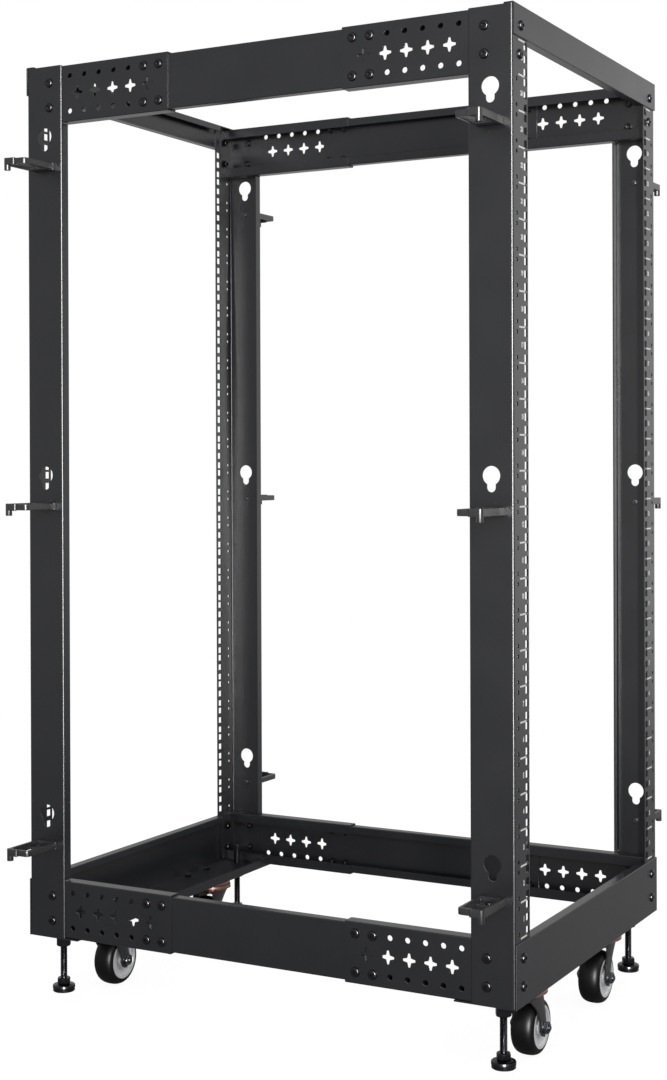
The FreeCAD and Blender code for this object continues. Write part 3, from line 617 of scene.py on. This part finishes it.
# %% [markdown]
# The hook is put together once, pointing out along +X from the post's side, with the sizes of its peg and
# stud as (radius, height) pairs in millimetres. Under the end of one arm the peg keeps the cables in. Each
# post carries three hooks, so the arrays are mirrored and moved to each place. A mirror turns faces inside
# out, so their corners are then listed the other way round.

# %% Cable hooks
HOOK_WALL = 5 * MM
HOOK_REACH = 70 * MM - HOOK_WALL / 2
SECOND_REACH = HOOK_REACH - 3 * MM
FINGER = 1.5 * MM
TALL, SHORT = 10, 8.6
KEYHOLE_DROP = 101 * MM
HOOK_DROP = 44 * MM
HOOK_PITCH = 480 * MM
HOOK_INSET = 30 * MM
PEG = [(0, 0), (2.4, 0), (2.6, 0.6), (3.4, 0.6), (4.3, 0.1), (4.5, 0.6), (4.5, 16.6), (4.1, 17), (0, 17)]
PEG_PLACE = (65.5 * MM, 13.5 * MM, -12 * MM)
STUD = [(0, 0), (2, 0), (2, 5), (1.6, 5.6), (0, 5.6)]
SCREW_PLACE = (11 * MM, 0, -2 * MM)
hook_at = joined([
    carried(arm(1, HOOK_REACH, FINGER), HOOK_WALL, TALL * MM),
    carried(arm(-1, SECOND_REACH, FINGER), HOOK_WALL, SHORT * MM),
    finger_end(TALL, HOOK_REACH, FINGER),
    finger_end(SHORT, SECOND_REACH, -FINGER),
    plate((0, 5), (-18, 18), (-5, 5)),
    plate((2, 20), (-15, 15), (-5, -2)),
    moved(turned(PEG, 24), "z", PEG_PLACE),
])
nut_at = joined([moved(nut(7 * MM, 3 * MM), "x", (-SHEET, 0, 0), -1),
                 moved(turned(STUD, BAR_SIDES), "x", (-SHEET, 0, 0), -1)])
screw_at = moved(button_head(4.2 * MM, 2.2 * MM, flats=2.6 * MM), "z", SCREW_PLACE)
hook_heights = TOP - KEYHOLE_DROP - HOOK_DROP - HOOK_PITCH * np.arange(3)
for corner, (across, along) in CORNERS.items():
    sign = np.array([across, along, 1])
    shapes, screws, nuts = [], [], []
    for height in hook_heights:
        place = np.array([across * SIDE, along * (POST_FACE - HOOK_INSET), height])
        for (points, faces), kept in ((hook_at, shapes), (screw_at, screws), (nut_at, nuts)):
            kept.append((points * sign + place, faces if across * along > 0 else faces[:, ::-1]))
    hooks = from_arrays("cable_hooks_%s_moulded" % corner, joined(shapes), nylon, "frame")
    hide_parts("cable_hooks_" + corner)
    from_arrays("hook_screws_" + corner, joined(screws), black_steel, "frame")
    from_arrays("hook_nuts_" + corner, joined(nuts), zinc, "frame")
print("hooks on each post:", len(hook_heights))

# %% [markdown]
# ## Levelling feet
#
# A foot is a turned disc with a hexagon for the spanner and a threaded stud, which runs in a nut under the
# bottom beam. The thread could be a profile swept along a helix. Here it is a surface whose radius rises and
# falls once for each turn, which closes by itself: the height over the pitch, less the turn, gives the place
# within a tooth.

# %% Levelling feet and their nuts
STUD_RADIUS = 5 * MM
STUD_PITCH = 1.5 * MM
FOOT_BASE = 19 * MM
FOOT_HEX = 17 * MM
HEX_HEIGHT = 9 * MM
DISC_HEIGHT = 10 * MM
BEAM_NUT_FLATS = 19 * MM
RUNNING_GAP = 0.08 * MM
DISC = [(0, 0), (15, 0), (15.6, 0.6), (15.6, 3.4), (15.2, 3.8), (15.2, 4.2), (16, 4.8), (16, 7.8),
        (15.4, 8.9), (14.4, 9.3), (12.4, 9.4), (11.6, 10), (0, 10)]
ROUND_STEPS = 40


def threaded(radius, length, pitch, depth=0.75 * MM, taper=1.2 * MM, steps=24):
    """Screw thread: r = R - depth * 2 |frac(z / pitch - t / 360) - 1/2|, which fades to the core's radius
    over the taper at each end, with five rows of points to a pitch."""
    turn = around(steps)
    height = np.linspace(0, length, int(length / pitch * 5))[:, None]
    tooth = np.abs((height / pitch - turn / (2 * np.pi)) % 1 - 0.5) * 2
    ends = np.clip(np.minimum(height, length - height) / taper, 0, 1)
    out = (radius - depth * tooth) * ends + (radius - depth) * (1 - ends)
    points = np.stack([out * np.cos(turn), out * np.sin(turn), height + 0 * turn], -1)
    cap = np.zeros((1, steps, 3))
    points = np.concatenate([cap, points, cap + [0, 0, length]]).reshape(-1, 3)
    return points, grid_faces(len(height) + 2, steps)


NUT_HEIGHT = BEAM_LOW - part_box("levelling_nuts")[0].z
beam_nut = nut(BEAM_NUT_FLATS, NUT_HEIGHT, bore=STUD_RADIUS + RUNNING_GAP, chamfer=0.07)
foot_nuts = []
for corner in CORNERS:
    low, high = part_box("levelling_foot_" + corner)
    spot = ((low.x + high.x) / 2, (low.y + high.y) / 2)
    stud = high.z - low.z - FOOT_BASE
    shapes = [
        moved(turned(DISC, ROUND_STEPS), "z", (*spot, low.z)),
        moved(nut(FOOT_HEX, HEX_HEIGHT), "z", (*spot, low.z + DISC_HEIGHT)),
        moved(threaded(STUD_RADIUS, stud, STUD_PITCH), "z", (*spot, low.z + FOOT_BASE)),
    ]
    foot = from_arrays("levelling_foot_%s_turned" % corner, joined(shapes), black_steel, "foot_" + corner,
                       FINE_CREASE)
    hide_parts("levelling_foot_" + corner)
    foot_nuts.append(moved(beam_nut, "z", (*spot, BEAM_LOW - NUT_HEIGHT)))
nuts = from_arrays("levelling_nuts_turned", joined(foot_nuts), black_steel, "frame",
                   FINE_CREASE)
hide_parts("levelling_nuts")
print("thread turns on each foot:", round(stud / STUD_PITCH))

# %% [markdown]
# ## Casters
#
# A caster is a tyre on a hub, on an axle in a fork, under a double ball race. Tyre, hub and race are turned
# shapes: a profile of (radius, height) carried round an axis. The tyre's profile is a superellipse, flat on
# the tread and full at the shoulders, where a torus would be too round.

# %% Wheels
HUB_RADIUS = 28 * MM
TYRE_RADIUS = 37.5 * MM
WHEEL_HALF = 16 * MM
AXLE_RADIUS = 4 * MM
WHEEL_STEPS = 64


def tyre_profile(bore, rim, half, power=2.5, steps=28):
    """r = bore + (rim - bore) sin(t)^(2/n), y = half cos(t)^(2/n): flat tread, round shoulders."""
    t = np.linspace(0, np.pi, steps)
    outwards = np.abs(np.sin(t)) ** (2 / power)
    sideways = np.sign(np.cos(t)) * np.abs(np.cos(t)) ** (2 / power)
    shoulders = list(zip(bore + (rim - bore) * outwards, half * sideways))
    return [(bore, half)] + shoulders + [(bore, -half), (bore, half)]


def hub_profile(rim, bore, half):
    """Pairs of (radius, place across): proud rim, sloping dish, boss and bore, the same on both faces."""
    from_bore = [(0, 0.6), (4.6, 0.6), (5.4, 1.4), (5.6, 3.4)]
    from_rim = [(9, 2.6), (5, 2.4), (4.2, 0.7), (3.6, 0.1), (0, 0)]
    face = [(bore + out * MM, half - sunk * MM) for out, sunk in from_bore]
    face += [(rim - back * MM, half - sunk * MM) for back, sunk in from_rim]
    return face + [(r, -y) for r, y in reversed(face)] + [face[0]]


wheel_turns = around(WHEEL_STEPS)
tyre_shape = rings(wheel_turns, tyre_profile(HUB_RADIUS, TYRE_RADIUS, WHEEL_HALF))
hub_shape = rings(wheel_turns, hub_profile(HUB_RADIUS, AXLE_RADIUS + RUNNING_GAP, WHEEL_HALF))
print("points on a tyre and a hub:", len(tyre_shape[0]), len(hub_shape[0]))

# %% [markdown]
# The fork is pressed from one sheet: a rounded crown under the race, and a leg on each side that narrows
# towards the axle. A leg is one ring of points carried up a curved middle line, with the ring's width given
# by a power of the height. One long side of it leans in, which stiffens the sheet.

# %% Forks
FORK_SHEET = 2.5 * MM
LEAN = np.radians(14)
LEAN_START = 0.25
LEG_ACROSS = np.array([-1, -0.93, -0.2, 0.25, 0.6, 0.93, 1, 1, 0.93, 0.6, 0.25, -0.2, -0.93, -1])
LEG_THROUGH = np.array([-0.4, -1, -1, -1, -1, -1, -0.4, 0.4, 1, 1, 1, 1, 1, 0.4])
CROWN_EDGE = 0.7 * MM
CROWN_MARGIN = 4 * MM


def fork_leg(axle, crown, foot, half_crown, sheet, inward, steps=36):
    """Leg of a fork, a rounded bar whose width grows as it rises: from the axle's height up, half = foot +
    (half_crown - foot) s^2.6 and middle = axle + (crown - axle) s^1.6; under it half = sqrt(foot^2 - h^2).
    One long side leans in by 14 degrees: depth + half * max(u - 0.25, 0) * tan(14)."""
    rise = crown[1] - axle[1]
    below = -foot * np.cos(np.linspace(0, np.pi / 2, 9))[:-1]
    height = np.concatenate([below, np.linspace(0, rise, steps)])
    s = np.clip(height / rise, 0, 1)
    round_foot = np.sqrt(np.maximum(foot ** 2 - height ** 2, 0))
    half = np.where(height < 0, round_foot, foot + (half_crown - foot) * s ** 2.6)
    middle = axle[0] + (crown[0] - axle[0]) * s ** 1.6
    wide = half[:, None] * LEG_ACROSS
    lean = half[:, None] * np.maximum(LEG_ACROSS - LEAN_START, 0) * np.tan(LEAN)
    deep = LEG_THROUGH * sheet / 2 + inward * lean
    points = np.stack([middle[:, None] + wide, deep, axle[1] + height[:, None] + 0 * wide], -1)
    count = len(LEG_ACROSS)
    ends = [np.broadcast_to([middle[i], 0, axle[1] + height[i]], (1, count, 3)) for i in (0, -1)]
    return (np.concatenate([ends[0], points, ends[1]]).reshape(-1, 3), grid_faces(len(height) + 2, count))


def crown_plate(turn, wide, deep, thick):
    """Rounded plate |x / a|^6 + |y / b|^6 = 1, with its edge rounded off."""
    out = (np.abs(np.cos(turn) / wide) ** 6 + np.abs(np.sin(turn) / deep) ** 6) ** (-1 / 6)
    edge = CROWN_EDGE
    lower = [(0, 0), (out - edge, 0), (out - edge * 0.3, edge * 0.3), (out, edge)]
    return rings(turn, lower + [(radius, thick - height) for radius, height in reversed(lower)])


def fork_shape(low, high, wheel, pivot):
    """A crown plate at the top of the box between low and high, and a leg down each of its two sides."""
    wide, deep = (high.x - low.x) / 2, (high.y - low.y) / 2
    pieces = [moved(crown_plate(wheel_turns, wide, deep, FORK_SHEET), "z",
                    (pivot[0], pivot[1], high.z - FORK_SHEET))]
    for y in (low.y + FORK_SHEET / 2, high.y - FORK_SHEET / 2):
        points, faces = fork_leg((wheel[0], wheel[2]), (pivot[0], high.z - CROWN_EDGE), wheel[2] - low.z,
                                 wide - CROWN_MARGIN, FORK_SHEET, np.sign(pivot[1] - y))
        pieces.append((points + [0, y, 0], faces))
    return joined(pieces)


print("points round a leg:", len(LEG_ACROSS))

# %% [markdown]
# Each corner's caster has pieces on two bodies: tyre and hub roll with the wheel's body, and axle and fork
# swivel with the caster's. The race, the mounting plates and their bolts belong to the frame, so they are
# gathered and made once for all four corners.

# %% Casters
PLATE_THICK = 2.5 * MM
PLATE_BOLT = 28 * MM
BEARING_HEIGHT = 16 * MM
AXLE_NUT_INSET = 8 * MM
AXLE_EDGE = 0.7 * MM
BEARING = [(5.1, 0), (24, 0), (24.6, 2.2), (28.8, 2.8), (30, 3.8), (30, 7.2), (29.2, 8.2), (27.6, 8.6),
           (27.6, 9.8), (29.2, 10.2), (29.2, 13), (27, 15), (26, 16), (5.1, 16), (5.1, 0)]
WASHER = [(0, 0), (8, 0), (8, 0.8), (7.6, 1.1), (0, 1.1)]
bearing_shape = turned(BEARING, WHEEL_STEPS)
washer = turned(WASHER, ROUND_STEPS)
axle_nut = nut(14 * MM, 6 * MM)
flat_head = button_head(4.5 * MM, 2.2 * MM, flats=3 * MM)
plate_nut = nut(10 * MM, 5 * MM, steps=24)
pivots = {joint["name"]: joint["pos_m"] for joint in frame["joints"] if joint["name"].startswith("swivel")}


def axle_shape(low_y, half, wheel):
    """Axle pin from end to end along Y, with a nut and a washer near each end."""
    small = AXLE_RADIUS - 0.6 * MM
    pin = rings(around(ROUND_STEPS), [(0, 0), (small, 0), (AXLE_RADIUS, AXLE_EDGE),
                                      (AXLE_RADIUS, 2 * half - AXLE_EDGE), (small, 2 * half), (0, 2 * half)])
    ends = [moved(pin, "y", (wheel[0], low_y, wheel[2]))]
    for sign in (-1, 1):
        seat = (wheel[0], wheel[1] + sign * (half - AXLE_NUT_INSET), wheel[2])
        ends += [moved(axle_nut, "y", seat, sign), moved(washer, "y", seat, sign)]
    return joined(ends)


plate_bolts, bearings = [], []
for corner in CORNERS:
    wheel_body, caster_body = "wheel_" + corner, "caster_" + corner
    low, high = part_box("caster_tyre_" + corner)
    wheel = ((low + high) / 2)[:]
    tyre = from_arrays("caster_tyre_%s_moulded" % corner, moved(tyre_shape, "y", wheel), rubber, wheel_body)
    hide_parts("caster_tyre_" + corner)
    hub = from_arrays("caster_hub_%s_moulded" % corner, moved(hub_shape, "y", wheel), polypropylene,
                      wheel_body, FINE_CREASE)
    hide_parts("caster_hub_" + corner)
    low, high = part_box("caster_axle_" + corner)
    axle = from_arrays("caster_axle_%s_turned" % corner, axle_shape(low.y, (high.y - low.y) / 2, wheel), zinc,
                       caster_body, FINE_CREASE)
    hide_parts("caster_axle_" + corner)
    pivot = pivots["swivel_" + corner]
    low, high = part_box("caster_fork_" + corner)
    fork = from_arrays("caster_fork_%s_pressed" % corner, fork_shape(low, high, wheel, pivot), fork_coat,
                       caster_body, FINE_CREASE)
    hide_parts("caster_fork_" + corner)
    plate_low = BEAM_LOW - PLATE_THICK
    bearings.append(moved(bearing_shape, "z", (pivot[0], pivot[1], plate_low - BEARING_HEIGHT)))
    for a in (-PLATE_BOLT, PLATE_BOLT):
        for b in (-PLATE_BOLT, PLATE_BOLT):
            plate_bolts.append(moved(flat_head, "z", (pivot[0] + a, pivot[1] + b, plate_low), -1))
            plate_bolts.append(moved(plate_nut, "z", (pivot[0] + a, pivot[1] + b, BEAM_LOW + SHEET)))
ring_piece = from_arrays("caster_bearings_turned", joined(bearings), copper, "frame",
                         FINE_CREASE)
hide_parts("caster_bearings")
folded("caster_plates", outer=0, material=fork_coat, edge=0.4 * MM)
from_arrays("caster_plate_bolts", joined(plate_bolts), black_steel, "frame")
print("casters:", len(bearings))

# %% [markdown]
# ## Printed marks
#
# Each unit's number is screen printed beside its middle hole, with a short line at each unit's edge. Marks
# could be painted by a texture, but shapes stay sharp from near by. Text is made a mesh first and then placed
# as arrays, a tenth of a millimetre proud of the coat.

# %% Unit lines and numbers
NUMBER_SIZE = 8.5 * MM
NUMBER_INSET = 28.5 * MM
NARROWED = 0.85
THICKENED = 0.065
LINE_INSETS = (18.5 * MM, 38 * MM)
LINE_HALF = 1.1 * MM
LAST_LINE_DROP = 1.5 * MM
PROUD = 0.1 * MM


def digits(word, size):
    """Flat points and triangles of a word, centred on the origin."""
    curve = bpy.data.curves.new("digits", "FONT")
    curve.body = word
    curve.size = size
    curve.offset = size * THICKENED
    curve.align_x = "CENTER"
    curve.align_y = "CENTER"
    curve.resolution_u = 2
    thing = placed("digits", curve)
    graph = bpy.context.evaluated_depsgraph_get()
    mesh = bpy.data.meshes.new_from_object(thing.evaluated_get(graph))
    mesh.calc_loop_triangles()
    points = np.array([v.co[:2] for v in mesh.vertices])
    faces = np.array([t.vertices[:] for t in mesh.loop_triangles])
    bpy.data.objects.remove(thing)
    return points, faces


words = {n: digits(str(n), NUMBER_SIZE) for n in range(1, UNITS + 1)}
quad = np.array([[0, 1, 2], [0, 2, 3]])
for corner, (across, along) in CORNERS.items():
    shapes = []
    for number, (flat, faces) in words.items():
        middle = FIRST_UNIT + RACK_UNIT * (number - 0.5)
        x = across * (SIDE - NUMBER_INSET) - along * flat[:, 0] * NARROWED
        points = np.stack([x, 0 * x + along * (POST_FACE + PROUD), middle + flat[:, 1]], -1)
        shapes.append((points, faces))
    near, far = (across * (SIDE - inset) for inset in LINE_INSETS)
    for line in range(UNITS + 1):
        height = FIRST_UNIT + RACK_UNIT * line - (LAST_LINE_DROP if line == UNITS else 0)
        x = np.array([near, far, far, near])
        z = height + np.array([-1, -1, 1, 1]) * LINE_HALF
        shapes.append((np.stack([x, 0 * x + along * (POST_FACE + PROUD), z], -1), quad))
    points, faces = joined(shapes)
    edge_a = points[faces[:, 1]] - points[faces[:, 0]]
    edge_b = points[faces[:, 2]] - points[faces[:, 0]]
    inward = np.cross(edge_a, edge_b)[:, 1] * along < 0
    faces[inward] = faces[inward][:, ::-1]
    from_arrays("unit_print_" + corner, (points, faces), ink, "frame", closed=False)
print("numbers on each post:", len(words))

# %% [markdown]
# ## The floor and the sky
#
# The stage is a plain pale floor under a white sky. A light path node tells the camera's own rays from the
# rest, so the background can be pure white while the rack gets a plain, even light. The floor's faint glow
# is for the camera alone too, so it doesn't light the rack from below.

# %% Stage
FLOOR_HALF = 2.2
FLOOR_TONE = 0.45
FLOOR_GLOW = 1.3
GLOW_SHARE = 0.72
SKY_LIGHT = 0.66
corners = [(-FLOOR_HALF, -FLOOR_HALF, 0), (FLOOR_HALF, -FLOOR_HALF, 0), (FLOOR_HALF, FLOOR_HALF, 0),
           (-FLOOR_HALF, FLOOR_HALF, 0)]
floor_mesh = bpy.data.meshes.new("floor")
floor_mesh.from_pydata(corners, [], [(0, 1, 2, 3)])
floor = placed("floor", floor_mesh)
pale = bpy.data.materials.new("pale_floor")
tree = empty_tree(pale)
painted = add(tree, "ShaderNodeBsdfDiffuse", {"Color": (FLOOR_TONE, FLOOR_TONE, FLOOR_TONE, 1)})
glow = add(tree, "ShaderNodeEmission", {"Color": (1, 1, 1, 1), "Strength": FLOOR_GLOW})
ray = add(tree, "ShaderNodeLightPath")
share = add(tree, "ShaderNodeMath", {"operation": "MULTIPLY", 1: GLOW_SHARE},
            {0: ray.outputs["Is Camera Ray"]})
both = add(tree, "ShaderNodeMixShader",
           links={0: share.outputs[0], 1: painted.outputs[0], 2: glow.outputs[0]})
add(tree, "ShaderNodeOutputMaterial", links={"Surface": both.outputs[0]})
floor_mesh.materials.append(pale)

world = bpy.data.worlds.new("white_sky")
bpy.context.scene.world = world
tree = empty_tree(world)
ray = add(tree, "ShaderNodeLightPath")
seen = add(tree, "ShaderNodeMath", {"operation": "MAXIMUM"},
           {0: ray.outputs["Is Camera Ray"], 1: ray.outputs["Is Transmission Ray"]})
strength = add(tree, "ShaderNodeMapRange", {"To Min": SKY_LIGHT, "To Max": 1.0}, {"Value": seen.outputs[0]})
sky = add(tree, "ShaderNodeBackground", {"Color": (1, 1, 1, 1)}, {"Strength": strength.outputs[0]})
add(tree, "ShaderNodeOutputWorld", links={"Surface": sky.outputs[0]})
print("floor, metres across:", 2 * FLOOR_HALF, "sky on the rack:", SKY_LIGHT)

# %% [markdown]
# Two wide soft lamps light the rack. Two more are seen only in reflections. One of them is broad and weak,
# and lifts the faces that look at it a little. The other is a tall narrow strip, bright enough to draw a thin
# line down each fold, and too narrow to wash out a flat face.

# %% Lamps
def lamp(name, at, towards, wide, high, watts, reflected_only=False):
    """Rectangular area lamp that looks at a point."""
    light = bpy.data.lights.new(name, "AREA")
    light.shape = "RECTANGLE"
    light.size = wide
    light.size_y = high
    light.energy = watts
    thing = placed(name, light)
    thing.location = at
    thing.rotation_euler = (Vector(towards) - Vector(at)).to_track_quat("-Z", "Y").to_euler()
    thing.visible_diffuse = not reflected_only
    return thing


lamps = [
    lamp("key", at=(1.2, -3.6, 3.2), towards=(0, 0, 0.7), wide=2.0, high=2.0, watts=30),
    lamp("fill", at=(-3.6, -1.0, 2.6), towards=(0, 0, 1.0), wide=2.4, high=2.4, watts=30),
    lamp("gloss", at=(4.4, -2.0, 1.2), towards=(0, -0.37, 0.8), wide=2.8, high=2.6, watts=10,
         reflected_only=True),
    lamp("streak", at=(-3.7, -2.4, 1.0), towards=(0.2, -0.3, 0.8), wide=0.4, high=2.6, watts=900,
         reflected_only=True),
]
print("lamps:", [thing.name for thing in lamps])

# %% [markdown]
# The camera stands about 2.5 m away and four fifths of a metre up, and looks at the near front corner. Its
# lens is shifted a little, where the camera could be tilted, because that keeps the posts upright.

# %% Camera
STAND = (-2.2553, -1.1992, 0.778)
YAW, PITCH, ROLL = 0.4978, -0.0039, -0.0034
SENSOR = 36
FOCAL_RATIO = 1.616
LENS_SHIFT = -0.0667
ahead = Vector((math.cos(YAW) * math.cos(PITCH), math.sin(YAW) * math.cos(PITCH), math.sin(PITCH)))
right = Vector((math.sin(YAW), -math.cos(YAW), 0))
up = right.cross(ahead)
tilted_right = math.cos(ROLL) * right + math.sin(ROLL) * up
tilted_up = -math.sin(ROLL) * right + math.cos(ROLL) * up
data = bpy.data.cameras.new("camera")
data.sensor_fit = "VERTICAL"
data.sensor_height = SENSOR
data.lens = SENSOR * FOCAL_RATIO
data.shift_y = LENS_SHIFT
data.clip_end = 100
camera = placed("camera", data)
camera.matrix_world = Matrix.Translation(STAND) @ Matrix(
    (tilted_right, tilted_up, -ahead)).transposed().to_4x4()
bpy.context.scene.camera = camera
bpy.context.scene.view_settings.view_transform = "Standard"
print("lens in mm:", round(data.lens, 1))

# %% [markdown]
# Last, the frame nodes that still show get their finishes.

# %% Finish the frame nodes
NODE_FINISHES = {
    "black_powder_coat": coat,
    "black_bolt": black_steel,
    "black_plastic": nylon,
    "black_foot": black_steel,
    "black_fork": fork_coat,
    "copper_bearing": copper,
    "zinc_bolt": zinc,
    "black_tyre": rubber,
    "grey_hub": polypropylene,
}
slots = {part["node"]: part["material_slot"] for part in frame["record"]["subparts"]}
for name, thing in nodes.items():
    thing.data.materials.clear()
    thing.data.materials.append(NODE_FINISHES[slots[name]])
